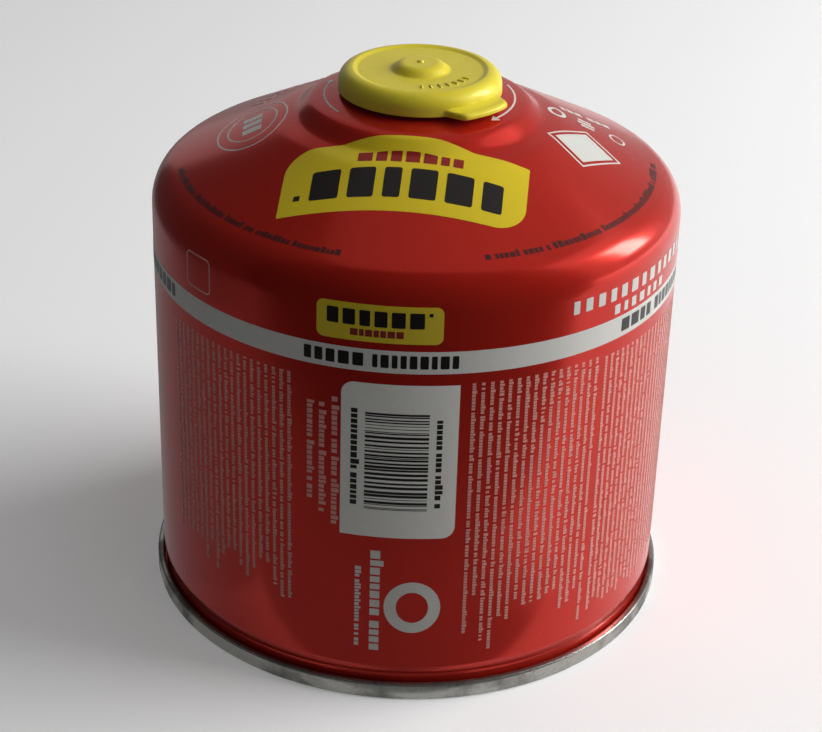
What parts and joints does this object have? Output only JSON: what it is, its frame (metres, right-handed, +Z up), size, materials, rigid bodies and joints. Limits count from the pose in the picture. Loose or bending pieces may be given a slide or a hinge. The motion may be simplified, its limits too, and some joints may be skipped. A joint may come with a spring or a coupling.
{
  "type": "fuel canister",
  "caption": "Squat steel gas canister with a domed shoulder, seamed base end, screw valve and a push-fit cap with a pull tab.",
  "frame": {"origin": "centre of the seam ring that the canister stands on", "axes": "+Z up along the canister's axis of revolution, +X to the right and -Y to the front of the pictured view"},
  "size_m": [0.1108, 0.1108, 0.1155],
  "materials": {
    "red_enamel": "glossy red enamel with printed panels",
    "base_steel": "bare tinned steel",
    "valve_steel": "bright tinned steel",
    "spring_steel": "drawn wire",
    "seal_rubber": "matte black",
    "housing_plastic": "moulded, off-white",
    "stem_plastic": "moulded, white",
    "cap_yellow": "soft moulded yellow plastic"
  },
  "bodies": {
    "canister": {"can_shell": "red_enamel", "base_end": "base_steel", "rim_gasket": "seal_rubber", "valve_cup": "valve_steel", "stem_gasket": "seal_rubber", "valve_housing": "housing_plastic", "valve_spring": "spring_steel"},
    "stem": {"valve_stem": "stem_plastic"},
    "cap": {"cap": "cap_yellow"}
  },
  "joints": [
    {"name": "stem_press", "type": "slide", "parent": "canister", "child": "stem", "axis": [0, 0, 1], "range_m": [-0.002, 0], "stiffness_N_per_m": 1200, "springref_m": 0.003, "deforming": ["valve_spring"]},
    {"name": "cap_lift", "type": "slide", "parent": "canister", "child": "cap", "axis": [0, 0, 1], "range_m": [0, 0.03]}
  ]
}
